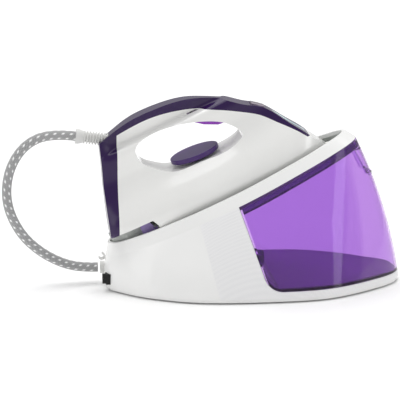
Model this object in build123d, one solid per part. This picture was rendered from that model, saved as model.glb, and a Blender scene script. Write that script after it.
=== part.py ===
"""Steam generator iron: a station with a pull-out water tank, and an iron that rests on top.

Millimetres. +X points from the hose end to the tank's front, +Y to the far side, +Z up. The origin
is under the middle of the whole object, on the surface that the feet stand on. Two more frames are
used: REST lies in the sloping top of the station, with local X up the slope and local Z square to
it, and the iron and its rest are drawn in it.
"""
from build123d import *
from math import atan2, cos, degrees, hypot, radians, sin, tan
import os

# ---- driving dimensions -------------------------------------------------------------------------
CENTRE_SHIFT = 2.0            # moves the whole object so that its middle is at X 0
SLOPE = 24.5                  # slope of the rest, degrees
REST_HEIGHT = 141.5           # height of the rim's top plane above X 0
STATION_REAR = 185.0          # rear wall behind X 0
STATION_FRONT = 188.0         # nose of the sill in front of X 0
STATION_HALF_WIDTH = 106.0    # widest half width, at the foot
SEAM_Z = 6.0                  # seam between the base pan and the walls
PAN_Z = 2.0                   # underside of the base pan
PAN_INSET = 2.0
PAN_FLOOR = 2.5
WALL = 2.5                    # station walls
BULGE = 0.045                 # outward bow of the walls, as a share of their height
RIM_DROP = 14.0               # height of the rim band, square to the rest
RIM_WIDTH = 3.5               # width of the rim's top face
TRAY_DROP = 20.0              # underside of the rest tray below the rim's top
TRAY_WALL = 2.0
TRAY_TOP = 4.2                # tray wall's top below the rim's top
PAD_HEIGHT = 2.0
SILL_TOP = 14.0
TANK_GAP = 0.5                # clearance round the water tank
TANK_WALL = 2.4
DECK_DROP = 22.5              # top of the tank's deck below the rim's top
DECK_THICKNESS = 2.5
LIP_DROP = 17.5               # top of the finger grip below the rim's top, clear of the sole
TANK_TRAVEL = 160.0
DOOR_HALF_WIDTH = 20.0
HINGE_HALF_WIDTH = 7.0
EAR_WIDTH = 4.0
BARREL_R = 2.4
VALVE_R = 4.0
DOOR_GAP = 0.6
DOOR_LOW = 142.0              # height of the fill door's hinge
DOOR_HIGH = 172.0             # height of the fill door's top edge
PIN_R = 1.0
RUNNING = 0.05                # radial clearance of pins and shafts
FOOT_R = 9.0
SCREW_R = 1.6
SCREW_HEAD_R = 3.0

BOILER_R = 36.0
BOILER_WALL = 2.0
BOILER_HEIGHT = 48.0
BOILER_X, BOILER_Y = -68.0, 30.0
PUMP_R = 17.0
PUMP_LENGTH = 62.0
BOARD_Z = 14.0                # underside of the control board
BOARD_GAP = 0.3               # clearance between the board and the wall

HOSE_D = 12.0
HOSE_RELIEF_LENGTH = 30.0
GLAND_LENGTH = 9.0

SOLE_BOTTOM = -16.0           # soleplate's face, in the rest's frame
SOLE_THICKNESS = 4.5
CHAMBER_HEIGHT = 9.0
SHELL_BOTTOM = -6.0
SHELL_WALL = 2.6
HEEL_PLANE_X = -169.5         # upright seam between the heel cover and the shell
HANDLE_SHARE = 0.35           # handle's width as a share of the sole's
DIAL_R = 31.5
DIAL_HEIGHT = 6.0
DIAL_U, DIAL_W = -54.0, 52.5  # underside's middle
DIAL_TILT = 4.5
DIAL_SHAFT_R = 3.0
TRIGGER_HALF_WIDTH = 8.0
TRIGGER_PIN_U, TRIGGER_PIN_W = 6.0, 84.0
TRIGGER_GAP = 0.6
BOOST_HALF_WIDTH = 8.5
BOOST_LENGTH = 18.0
BOOST_DEPTH = 7.0
BOOST_TRAVEL = 2.0
LOCK_TRAVEL = 6.0
LOCK_GAP = 0.5
POWER_R = 9.0
POWER_TRAVEL = 2.0
KNOB_R = 13.0

# ---- outlines: half of each, from the rear to the front, mirrored about the middle plane ---------
R, F, W = STATION_REAR, STATION_FRONT, STATION_HALF_WIDTH
FOOT_OUTLINE = [
    (-R, 0), (-0.985 * R, 0.19 * W), (-0.924 * R, 0.34 * W), (-0.795 * R, 0.575 * W),
    (-0.66 * R, 0.736 * W), (-0.524 * R, 0.863 * W), (-0.367 * R, 0.948 * W),
    (-0.205 * R, 0.986 * W), (0, W), (0.213 * F, 0.991 * W), (0.425 * F, 0.934 * W),
    (0.628 * F, 0.755 * W), (0.806 * F, 0.52 * W), (0.955 * F, 0.245 * W), (F, 0),
]
SEAM_OUTLINE = [
    (-209, 0), (-205, 15), (-192, 31), (-166, 47.5), (-139, 59), (-113, 66), (-86, 70), (-58, 71.5),
    (-26, 71), (10, 65.5), (50, 54.5), (85, 43), (114, 29.5), (133.5, 14), (138, 0),
]
RIM_OUTLINE = [
    (-200, 0), (-197, 12), (-187, 26), (-160, 43), (-133, 54), (-108, 60.5), (-82, 64.5),
    (-56, 65.5), (-25, 64.5), (10, 58.5), (50, 47.5), (82, 36.5), (108, 23), (125, 10), (129, 0),
]
SOLE_OUTLINE = [
    (-134, 0), (-133, 30), (-126, 46), (-110, 52.5), (-90, 56), (-66, 57.5), (-30, 56.5), (5, 51),
    (38, 43), (68, 33), (92, 20), (106, 8), (110, 0),
]
# iron's side view in the rest's frame
HANDLE_TOP = [
    (87, 15), (80, 27), (71, 40), (59, 59), (44, 77), (30, 86), (10, 102), (-13, 115), (-35, 124),
    (-60, 129), (-87, 131), (-108, 130.5), (-128, 127), (-156, 120),
]
HEEL_BACK = [(-165, 93), (-174, 69), (-184, 38), (-193, 9)]
COVER_EDGE = [(-150, 118), (-127, 120), (-99, 122), (-73, 120), (-48, 114), (-25, 106), (3, 92),
              (25, 78), (40, 67), (54, 52), (68, 37), (82, 18)]
FINGER_HOLE = [(-120, 86), (-116, 98), (-100, 103), (-74, 103), (-49, 99), (-31, 93), (-8, 81),
               (5, 68), (10, 56), (0, 50), (-54, 49), (-90, 53), (-108, 66)]
# height, share of the sole's width, and how far the rear reaches back
IRON_LEVELS = [(SHELL_BOTTOM - 18, 0.89, 8), (SHELL_BOTTOM, 0.91, 8), (12, 0.95, 62), (34, 0.78, 62), (50, 0.52, 62),
               (66, HANDLE_SHARE + 0.03, 62), (100, HANDLE_SHARE, 50), (136, HANDLE_SHARE - 0.03, 45)]
ROOM_LEVELS = [(SHELL_BOTTOM, 0.865, 8), (12, 0.93, 62), (34, 0.78, 62), (40, 0.7, 62)]
HOSE_ROUTE = [(-218, 0, 194.5), (-250.7, 0, 199), (-283, 0, 186), (-304, 1, 153.5),
              (-308, 3, 111.5), (-292, 8, 72), (-268, 14, 46), (-239, 23, 27),
              (-212, 27, 19.5), (-190, 27, 19.5)]

# ---- frames -------------------------------------------------------------------------------------
REST_X = Vector(cos(radians(SLOPE)), 0, sin(radians(SLOPE)))
REST_Z = Vector(-sin(radians(SLOPE)), 0, cos(radians(SLOPE)))
REST = Plane(origin=(0, 0, REST_HEIGHT), x_dir=REST_X, z_dir=REST_Z)
PIECES = {}


def add(name, shape):
    """Keep a finished piece under its node's name."""
    PIECES[name] = shape


def rest_z(x, drop=0.0):
    """Height of the plane that lies drop below the rim's top, above the station's X."""
    return REST_HEIGHT + x * tan(radians(SLOPE)) - drop / cos(radians(SLOPE))


def inset(half, distance):
    """Half outline moved inwards, square to itself."""
    mirrored = [(half[1][0], -half[1][1])] + list(half) + [(half[-2][0], -half[-2][1])]
    moved = []
    for before, here, after in zip(mirrored, mirrored[1:], mirrored[2:]):
        du, dv = after[0] - before[0], after[1] - before[1]
        size = hypot(du, dv)
        moved.append((here[0] + distance * dv / size, max(0.0, here[1] - distance * du / size)))
    return moved


def closed_ring(points):
    """Smooth closed wire of two curves: the half ring through the points, and its mirror image."""
    mirrored = [(x, -y, z) for x, y, z in reversed(points)]
    out, back = (0, 1, 0), (0, -1, 0)
    return Wire([Edge.make_spline(points, tangents=(out, back), scale=False),
                 Edge.make_spline(mirrored, tangents=(back, out), scale=False)])


def level_points(half, plane):
    """Half outline laid in a plane."""
    return [tuple(plane.from_local_coords((u, v, 0))) for u, v in half]


def foot_points(distance):
    return level_points(inset(FOOT_OUTLINE, distance), Plane.XY.offset(SEAM_Z))


def seam_points(distance):
    return level_points(inset(SEAM_OUTLINE, distance), REST.offset(-RIM_DROP))


def bowed_points(low, high):
    """Points half way up the wall, pushed out by the wall's bow."""
    bowed = []
    for (x0, y0, z0), (x1, y1, z1) in zip(low, high):
        x, y = (x0 + x1) / 2, (y0 + y1) / 2
        reach = BULGE * (z1 - z0) / hypot(x, y)
        bowed.append((x * (1 + reach), y * (1 + reach), (z0 + z1) / 2))
    return bowed


def body_block(distance):
    """Solid inside the station's walls, moved inwards by a distance."""
    low, high = foot_points(distance), seam_points(distance)
    rings = [closed_ring(low), closed_ring(bowed_points(low, high)), closed_ring(high)]
    return Solid.make_loft(rings)


def rest_prism(half, distance, low, high):
    """Straight block on an outline in the rest's frame, between two heights."""
    ring = closed_ring(level_points(inset(half, distance), Plane.XY.offset(low)))
    return REST.location * Solid.extrude(Face(ring), (0, 0, high - low))


def side_block(corners, half_width=150.0, fillets=None):
    """Block with a side view in the XZ plane, across the whole width."""
    if fillets:
        line = FilletPolyline(*corners, radius=fillets, close=True)
    else:
        line = Polyline(*corners, close=True)
    return extrude(Plane.XZ * make_face(line), half_width, both=True)


def in_rest(shape):
    """Place a shape drawn in the rest's frame."""
    return REST.location * shape


def block(x, y, z):
    """Box between two limits on each axis."""
    size = (x[1] - x[0], y[1] - y[0], z[1] - z[0])
    return Pos(*(sum(pair) / 2 for pair in (x, y, z))) * Box(*size)


def rod(radius, start, end, hole=0.0):
    """Round bar or tube between two points."""
    start, end = Vector(*start), Vector(*end)
    face = Plane(origin=start, z_dir=end - start)
    ring = Circle(radius) - Circle(hole) if hole else Circle(radius)
    return extrude(face * ring, (end - start).length)


def pipe(points, radius, diameter, hole=0.0):
    """Bent pipe of straight runs and arcs."""
    path = FilletPolyline(*points, radius=radius)
    plane = Plane(origin=path @ 0, z_dir=path % 0)
    ring = Circle(diameter / 2) - Circle(hole / 2) if hole else Circle(diameter / 2)
    return sweep(plane * ring, path=path)


# ---- station ------------------------------------------------------------------------------------
FAR = 400.0
PANEL_TOP_X, PANEL_FOOT_X = -82.0, -49.0
TANK_TOP_X, TANK_FOOT_X = -29.0, 9.5
TANK_CORNER_R = 25.0


def rear_side():
    """Side view of the rear housing's stretch, up to the cheeks' parting line."""
    return side_block([(-FAR, -1), (PANEL_FOOT_X, -1), (PANEL_TOP_X, FAR / 3), (-FAR, FAR / 3)])


def tank_side(gap, foot, drop):
    """Side view of the tank bay: behind it a leaning line, below it the sill."""
    lean = (TANK_TOP_X - TANK_FOOT_X) / (rest_z(TANK_TOP_X) - SILL_TOP)
    foot_x = TANK_FOOT_X + gap + lean * (foot - SILL_TOP)
    rise = (rest_z(foot_x, drop) - foot) / (1 - lean * tan(radians(SLOPE)))
    corners = [(foot_x + lean * rise, foot + rise), (foot_x, foot), (FAR, foot), (FAR, rest_z(FAR, drop))]
    return side_block(corners, fillets=[0.01, TANK_CORNER_R - gap, 0.01, 0.01])


def build_walls():
    """Rear housing, and the front frame with its cheeks, sill and tank floor."""
    tube = body_block(0) - body_block(WALL)
    housing = tube & rear_side()
    bay = tank_side(0, SILL_TOP, -40)
    cheeks = tube - rear_side() - bay
    floor = body_block(WALL) & block((TANK_FOOT_X + 18, FAR), (-FAR, FAR), (SILL_TOP - 3, SILL_TOP - 1))
    housing -= outlet_cut(GLAND_Y, GLAND_Z, GLAND_HALF)
    add("rear_housing", housing - outlet_cut(MAINS_Y, MAINS_Z, MAINS_HALF))
    add("front_frame", cheeks + floor - knob_cut() - power_cut())


def build_base():
    """Pan, feet and the screws that hold the walls to the pan."""
    ring = closed_ring(level_points(inset(FOOT_OUTLINE, PAN_INSET), Plane.XY.offset(PAN_Z)))
    pan = Solid.extrude(Face(ring), (0, 0, SEAM_Z - PAN_Z))
    well = closed_ring(level_points(inset(FOOT_OUTLINE, PAN_INSET + WALL), Plane.XY.offset(PAN_Z + PAN_FLOOR)))
    pan -= Solid.extrude(Face(well), (0, 0, SEAM_Z))
    feet, screws = [], []
    for x, y in ((-130, 50), (-130, -50), (118, 52), (118, -52)):
        pan -= Pos(x, y, PAN_Z) * Cylinder(FOOT_R, 1.0, align=(Align.CENTER, Align.CENTER, Align.MIN))
        feet.append(Pos(x, y, 0) * Cylinder(FOOT_R, PAN_Z + 1.0, align=(Align.CENTER, Align.CENTER, Align.MIN)))
    for x, y in ((-100, 62), (-100, -62), (60, 74), (60, -74)):
        hole = rod(SCREW_R, (x, y, PAN_Z), (x, y, SEAM_Z + 3))
        head = rod(SCREW_HEAD_R, (x, y, PAN_Z), (x, y, PAN_Z + 1.4))
        screws.append(hole + head)
        pan += rod(SCREW_HEAD_R + 1.5, (x, y, PAN_Z), (x, y, SEAM_Z + 4))
        pan -= hole + head
    for x, y in ((-156, -36), (-130, -40), (-156, 6), (-130, 6)):
        pan += rod(3, (x, y, PAN_Z + PAN_FLOOR - 1), (x, y, BOARD_Z))
    add("base_pan", pan)
    add("rubber_feet", Compound(feet))
    add("base_screws", Compound(screws))


def build_rim():
    """White rim band, grey rest tray, the pads under the sole and the heel's rest."""
    low = closed_ring(level_points(SEAM_OUTLINE, REST.offset(-RIM_DROP)))
    high = closed_ring(level_points(RIM_OUTLINE, REST))
    band = Solid.make_loft([low, high], ruled=True)
    add("rim_cover", band - rest_prism(RIM_OUTLINE, RIM_WIDTH, -RIM_DROP - 1, 1))
    tray = rest_prism(RIM_OUTLINE, RIM_WIDTH, -TRAY_DROP, -TRAY_TOP)
    tray -= rest_prism(RIM_OUTLINE, RIM_WIDTH + TRAY_WALL, TRAY_WALL - TRAY_DROP, 5)
    add("rest_tray", tray)
    floor = TRAY_WALL - TRAY_DROP
    pads = [in_rest(block((u - 14, u + 14), (v - 5, v + 5), (floor, floor + PAD_HEIGHT)))
            for u, v in ((-105, 34), (-105, -34), (60, 0))]
    add("rest_pads", Compound(pads))
    heel = in_rest(block((-FAR, -141), (-29.5, 29.5), (floor, 9)))
    add("heel_rest", heel & rest_prism(RIM_OUTLINE, RIM_WIDTH + TRAY_WALL, floor, 9))


OUTLET_Z = 32.0
SPIGOT_R = 7.0


def outlet_x():
    """X of the water tank's rear wall at the height of its outlet."""
    lean = (TANK_TOP_X - TANK_FOOT_X) / (rest_z(TANK_TOP_X) - SILL_TOP)
    return TANK_FOOT_X + TANK_GAP + lean * (OUTLET_Z - SILL_TOP)


def build_bulkhead():
    """Upright wall between the boiler bay and the tank, following the tank's back."""
    back = side_block([(TANK_FOOT_X - 12, SEAM_Z), (TANK_FOOT_X - 10, SEAM_Z),
                       (TANK_TOP_X - 8, rest_z(TANK_TOP_X - 8, TRAY_DROP + 0.5)),
                       (TANK_TOP_X - 10, rest_z(TANK_TOP_X - 10, TRAY_DROP + 0.5))])
    wall = back & body_block(WALL)
    z, r = OUTLET_Z, SPIGOT_R
    back_x, tip_x = outlet_x() - 24, outlet_x() - TANK_GAP
    add("bulkhead", wall - rod(r, (back_x, 0, z), (tip_x, 0, z)))
    spigot = rod(r, (back_x + 2, 0, z), (tip_x, 0, z), hole=3.0)
    flange = rod(r + 3, (back_x, 0, z), (back_x + 2, 0, z), hole=3.0)
    add("tank_coupling", spigot + flange)
    add("coupling_seal", rod(r + 2.5, (tip_x - 4, 0, z), (tip_x - 1.5, 0, z), hole=r))
    add("water_tube", rod(3, (-38, 0, z), (back_x, 0, z)))


def build_boiler():
    """Boiler with its element and cut-out, on a bracket, and the valve and pipes."""
    z0 = 12.0
    shell = rod(BOILER_R, (BOILER_X, BOILER_Y, z0), (BOILER_X, BOILER_Y, z0 + BOILER_HEIGHT))
    shell = fillet(shell.edges(), 8)
    hollow = rod(BOILER_R - BOILER_WALL, (BOILER_X, BOILER_Y, z0 + BOILER_WALL),
                 (BOILER_X, BOILER_Y, z0 + BOILER_HEIGHT - BOILER_WALL))
    hollow = fillet(hollow.edges(), 8 - BOILER_WALL)
    add("boiler_shell", shell - hollow)
    ring = Plane.XY.offset(z0 + 8) * Pos(BOILER_X, BOILER_Y) * Circle(20)
    loop = sweep(Plane(origin=(BOILER_X + 20, BOILER_Y, z0 + 8), z_dir=(0, 1, 0)) * Circle(3.5), path=ring.wire())
    add("boiler_element", loop)
    top = z0 + BOILER_HEIGHT
    cutout_y = BOILER_Y - 13
    add("boiler_cutout", rod(8, (BOILER_X - 8, cutout_y, top), (BOILER_X - 8, cutout_y, top + 6)))
    legs = [block((BOILER_X + dx - 4, BOILER_X + dx + 4), (BOILER_Y - 20, BOILER_Y + 20),
                  (PAN_Z + PAN_FLOOR, z0)) for dx in (-16, 16)]
    add("boiler_bracket", Compound(legs))
    valve_x = BOILER_X + 14
    add("steam_valve", rod(9, (valve_x, BOILER_Y, top), (valve_x, BOILER_Y, top + 12)))
    steam = [(valve_x - 9, BOILER_Y, top + 6), (-110, BOILER_Y, top + 6), (-117, 29, 36),
             (-140, GLAND_Y, GLAND_Z), (-168, GLAND_Y, GLAND_Z)]
    add("steam_pipe", pipe(steam, 8, 5.0))
    pump_y = -38.0
    body = rod(PUMP_R, (-118, pump_y, 28), (-118 + PUMP_LENGTH, pump_y, 28))
    add("water_pump", body)
    mounts = [block((x - 4, x + 4), (pump_y - 14, pump_y + 14), (PAN_Z + PAN_FLOOR, 28)) - body for x in (-108, -66)]
    add("pump_mounts", Compound(mounts))
    board = block((-160, -126), (-44, 10), (BOARD_Z, BOARD_Z + 1.6)) & body_block(WALL + BOARD_GAP)
    relay = block((-150, -138), (-36, -24), (BOARD_Z + 1.6, BOARD_Z + 13))
    add("control_board", board + relay + block((-150, -136), (-12, 2), (BOARD_Z + 1.6, BOARD_Z + 8)))


GLAND_Y, GLAND_Z = 27.0, 19.5
MAINS_Y, MAINS_Z = -18.0, 16.0
MAINS_BORE_R = 3.6
GLAND_COLLAR = 2.0
GLAND_HALF, MAINS_HALF = HOSE_D / 2 + GLAND_COLLAR, 6.5


def outlet_cut(y, z, half):
    """Square hole in the rear wall for an outlet."""
    return block((-FAR, -168), (y - half, y + half), (z - half, z + half))


def build_glands():
    """Outlets in the rear wall: for the steam hose and, beside it, for the mains lead."""
    start = HOSE_ROUTE[-1][0]
    plug = block((-182, -168), (GLAND_Y - GLAND_HALF, GLAND_Y + GLAND_HALF),
                 (GLAND_Z - GLAND_HALF, GLAND_Z + GLAND_HALF))
    add("hose_gland", plug + rod(GLAND_HALF, (start, GLAND_Y, GLAND_Z), (-180, GLAND_Y, GLAND_Z)))
    plug = block((-186, -168), (MAINS_Y - MAINS_HALF, MAINS_Y + MAINS_HALF),
                 (MAINS_Z - MAINS_HALF, MAINS_Z + MAINS_HALF))
    gland = plug + rod(MAINS_HALF, (-190, MAINS_Y, MAINS_Z), (-186, MAINS_Y, MAINS_Z))
    add("mains_gland", gland - rod(MAINS_BORE_R, (-191, MAINS_Y, MAINS_Z), (-160, MAINS_Y, MAINS_Z)))
    clip = rod(4.5, (-189, 8, 38), (-189, 16, 38), hole=2.6) - block((-FAR, -189), (0, 30), (36.5, 60))
    foot = block((-188, -181), (8, 16), (34.5, 37.5)) - rod(4.0, (-189, 0, 38), (-189, 30, 38))
    add("hose_clip", (clip + foot) - body_block(0))


def steam_hose():
    """Hose from the iron's strain relief to the gland: straight runs joined by tangent arcs."""
    points = [Vector(*p) for p in HOSE_ROUTE]
    radii = []
    for before, here, after in zip(points, points[1:], points[2:]):
        turn = (here - before).get_angle(after - here)
        shorter = min((here - before).length, (after - here).length)
        radii.append(0.45 * shorter / tan(radians(turn / 2)))
    path = FilletPolyline(*points, radius=radii)
    face = Plane(origin=path @ 0, z_dir=path % 0) * Circle(HOSE_D / 2)
    tube = sweep(face, path=path)
    section = 3.14159 * HOSE_D ** 2 / 4
    print("hose radii", [round(r, 1) for r in radii], "length", round(path.length, 1),
          "volume ratio", round(tube.volume / (section * path.length), 4))
    return tube


# ---- buttons and knobs on the station -----------------------------------------------------------
POWER_X, POWER_Z = -48.0, 76.0
KNOB_X, KNOB_Z = -33.0, 42.0
KNOB_STEM_R = 8.0
STEM_GAP = 0.4


def wall_y(x, z):
    """Half width of the station at a place on its side."""
    core = body_block(0) & block((x - 0.5, x + 0.5), (0, FAR), (z - 0.5, z + 0.5))
    return core.bounding_box().max.Y


def power_cut():
    return rod(POWER_R + STEM_GAP, (POWER_X, 60, POWER_Z), (POWER_X, 120, POWER_Z))


def knob_cut():
    return rod(KNOB_STEM_R + STEM_GAP, (KNOB_X, 70, KNOB_Z), (KNOB_X, 130, KNOB_Z))


def build_controls():
    """Power button with its switch, and the descaling knob, on the far side."""
    y = wall_y(POWER_X, POWER_Z)
    x, z = POWER_X, POWER_Z
    add("power_button", rod(POWER_R, (x, y - 10, z), (x, y + 4, z)))
    back = y - 10 - POWER_TRAVEL - STEM_GAP
    add("power_switch", block((x - 7, x + 7), (back - 10, back), (z - 6, z + 6)))
    x, z = KNOB_X, KNOB_Z
    face = STATION_HALF_WIDTH - 0.1
    knob = rod(KNOB_STEM_R, (x, face - 20, z), (x, face - 3, z)) + rod(KNOB_R, (x, face - 3, z), (x, face - 1.2, z))
    knob += block((x - 2, x + 2), (face - 1.2, face), (z - 10, z + 10))
    add("descale_knob", knob)
    add("drain_pipe", rod(KNOB_STEM_R, (x, 68, z), (x, face - 20 - STEM_GAP, z), hole=3.5))


def build_lock():
    """Carry lock: a slider beside the heel rest, with a hook that goes into the iron's shell."""
    side = Polyline((-154, -17.9), (-141, -17.9), (-141, -10.5), (-138.5, -10.5), (-138.5, 4), (-142.6, 11),
                    (-154, 11), close=True)
    slider = Pos(0, -35, 0) * extrude(Plane.XZ * make_face(side), 4, both=True)
    slider = fillet(slider.edges().filter_by(Axis.Y), 0.8)
    hook = block((-140, -133.5 - LOCK_GAP), (-38, -32), (-3, 0))
    add("lock_slider", in_rest(slider + hook))


# ---- water tank ---------------------------------------------------------------------------------
def hinge_x():
    """X of the fill door's pin: just inside the front wall at the hinge's height."""
    wall = body_block(0) & block((0, FAR), (-0.5, 0.5), (DOOR_LOW - 0.5, DOOR_LOW + 0.5))
    return wall.bounding_box().max.X - BARREL_R


def build_tank():
    """Clear shell, its deck and finger grip, and the seat of the outlet."""
    outer = body_block(0) & tank_side(TANK_GAP, SILL_TOP + TANK_GAP, RIM_DROP + TANK_GAP)
    core = body_block(TANK_WALL)
    hollow_side = tank_side(TANK_GAP + TANK_WALL, SILL_TOP + TANK_GAP + TANK_WALL, RIM_DROP - 5)
    shell = outer - (core & hollow_side)
    shell -= rest_prism(RIM_OUTLINE, RIM_WIDTH - 1.5, -TRAY_DROP - 1, 10)
    shell = build_door(shell, outer - core)
    z, x = OUTLET_Z, outlet_x()
    seat_r = SPIGOT_R + 3.5
    shell -= rod(seat_r, (x - 30, 0, z), (x + 12, 0, z))
    add("water_tank", shell)
    add("valve_seat", rod(seat_r, (x + 2, 0, z), (x + 9, 0, z), hole=VALVE_R + STEM_GAP))
    add("outlet_valve", rod(VALVE_R, (x + 1, 0, z), (x + 9, 0, z))
        + rod(seat_r - 1, (x + 9 + STEM_GAP, 0, z), (x + 11, 0, z)) + rod(2, (x + 8, 0, z), (x + 10, 0, z)))
    slab = core & hollow_side & side_block([
        (-FAR, rest_z(-FAR, DECK_DROP)), (FAR, rest_z(FAR, DECK_DROP)),
        (FAR, rest_z(FAR, DECK_DROP + DECK_THICKNESS)), (-FAR, rest_z(-FAR, DECK_DROP + DECK_THICKNESS))])
    add("tank_deck", slab)
    lip_zone = side_block([(96, rest_z(96, DECK_DROP)), (FAR, rest_z(FAR, DECK_DROP)),
                           (FAR, rest_z(FAR, LIP_DROP)), (96, rest_z(96, LIP_DROP))])
    lip = (core - body_block(TANK_WALL + 6)) & lip_zone
    add("grip_lip", lip - rest_prism(RIM_OUTLINE, RIM_WIDTH - 1.5, -TRAY_DROP - 1, 10))


def build_door(shell, skin):
    """Cut the fill mouth in the shell, with ears for the pin, and make the door and its pin."""
    x, low = hinge_x(), DOOR_LOW
    half, hinge, gap = DOOR_HALF_WIDTH, HINGE_HALF_WIDTH, DOOR_GAP
    front = (90, FAR)
    mouth = block(front, (-half - gap, half + gap), (low, DOOR_HIGH + gap))
    mouth += block(front, (-hinge - gap, hinge + gap), (low - BARREL_R - gap, low + gap))
    shell = shell - mouth
    far_ear, ear_top = hinge + gap + EAR_WIDTH, 2.0
    for side in (-1, 1):
        across = sorted((side * (hinge + gap), side * far_ear))
        shell += block((x - 3, x + BARREL_R), across, (low - 4, low + ear_top)) & body_block(0.2)
    reach = far_ear - 1
    bore = rod(PIN_R + RUNNING, (x, -reach, low), (x, reach, low))
    plate = skin & block(front, (-half, half), (low + gap, DOOR_HIGH))
    corner = block(front, (-far_ear - gap, far_ear + gap), (low - 1, low + ear_top + 2 * gap))
    tab = skin & block(front, (-hinge, hinge), (low, low + ear_top + 3 * gap))
    door = (plate - corner) + tab + rod(BARREL_R, (x, -hinge, low), (x, hinge, low))
    add("fill_door", door - bore)
    add("door_pin", rod(PIN_R, (x, -reach, low), (x, reach, low)))
    return shell - rod(PIN_R, (x, -reach, low), (x, reach, low))


# ---- iron ---------------------------------------------------------------------------------------
def sole_ring(distance, height, share, rear=0.0):
    """Ring on the sole's outline, narrowed to a share, less a wall, and stretched at the rear."""
    widest = max(v for u, v in SOLE_OUTLINE)
    nose = SOLE_OUTLINE[-1][0]
    narrow = share - distance / widest
    points = []
    for u, v in SOLE_OUTLINE:
        stretch = rear * max(0.0, (-u - 66) / 68)
        points.append((u * (1 - distance / nose) - stretch, v * narrow, height))
    return closed_ring(points)


def iron_loft(distance=0.0, levels=IRON_LEVELS):
    """The iron's cross-sections, before its side view is cut."""
    return Solid.make_loft([sole_ring(distance, w, share, rear) for w, share, rear in levels])


def iron_side(distance=0.0):
    """The iron's side view as a block across its width."""
    top = [(u - distance * 0.8, w - distance * 0.7) for u, w in HANDLE_TOP]
    crown = Spline(*top)
    heel = Polyline(top[-1], *HEEL_BACK)
    foot = Polyline(HEEL_BACK[-1], (-178, 12), (-136, 12), (-132, 4), (-131, SHELL_BOTTOM),
                    (101, SHELL_BOTTOM), (96, 2), top[0])
    return extrude(Plane.XZ * make_face(Wire([*crown.edges(), *heel.edges(), *foot.edges()])), 80, both=True)


def cover_side():
    """Everything above the handle cover's lower edge."""
    edge = Spline(*COVER_EDGE)
    outside = Polyline(COVER_EDGE[-1], (140, 10), (140, 200), (-200, 200), (-200, 118), COVER_EDGE[0])
    return extrude(Plane.XZ * make_face(Wire([*edge.edges(), *outside.edges()])), 80, both=True)


def heel_side():
    """Everything behind the upright seam of the heel cover, drawn in the rest's frame."""
    rear = block((-FAR, HEEL_PLANE_X), (-FAR / 2, FAR / 2), (-FAR, FAR))
    return REST.location.inverse() * rear


BOOST_AT = (43.0, 77.5)
BOOST_ANGLE = -40.0
WINDOW_FROM, WINDOW_TO = (57.0, 62.0), (83.0, 22.0)


def boost_frame():
    """Frame on the handle's front, Z square to the surface and X along it."""
    angle = radians(BOOST_ANGLE)
    return Plane(origin=(BOOST_AT[0], 0, BOOST_AT[1]), x_dir=(cos(angle), 0, sin(angle)),
                 z_dir=(-sin(angle), 0, cos(angle)))


def window_block(grow=0.0):
    """Slab along the nose that the ready window fills."""
    (u0, w0), (u1, w1) = WINDOW_FROM, WINDOW_TO
    turn = atan2(w1 - w0, u1 - u0)
    length = hypot(u1 - u0, w1 - w0)
    plane = Plane(origin=((u0 + u1) / 2, 0, (w0 + w1) / 2), x_dir=(cos(turn), 0, sin(turn)),
                  z_dir=(-sin(turn), 0, cos(turn)))
    return plane.location * Box(length + grow, 11 + grow, 7)


def dial_frame():
    tilt = radians(-DIAL_TILT)
    return Plane(origin=(DIAL_U, 0, DIAL_W), x_dir=(cos(tilt), 0, sin(tilt)), z_dir=(-sin(tilt), 0, cos(tilt)))


def build_trigger():
    """Steam trigger under the handle, on its pin, with the spring and the switch above it."""
    u, w = TRIGGER_PIN_U, TRIGGER_PIN_W
    outline = [(u + 3, w - 2), (u + 2, w + 4), (-38, 99), (-38, 93), (-28, 85), (-12, 77), (-3, 76)]
    lever = extrude(Plane.XZ * make_face(Polyline(*outline, close=True)), TRIGGER_HALF_WIDTH, both=True)
    lever = fillet(lever.edges().filter_by(Axis.Y), 0.8)
    pocket_line = [(u + 5, w - 4), (u + 5, w + 7), (-30, 107), (-42, 107), (-42, 88), (-28, 70), (-5, 62)]
    pocket = extrude(Plane.XZ * make_face(Polyline(*pocket_line, close=True)), TRIGGER_HALF_WIDTH + TRIGGER_GAP, both=True)
    bore = rod(PIN_R + RUNNING, (u, -14, w), (u, 14, w))
    pin = rod(PIN_R, (u, -12, w), (u, 12, w))
    switch = block((-31, -22), (-4, 4), (99.6, 102.6))
    spring = rod(2.2, (-36, 0, 98.8), (-36, 0, 106.8), hole=1.4)
    return lever - bore, pocket, pin, switch, spring


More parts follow.
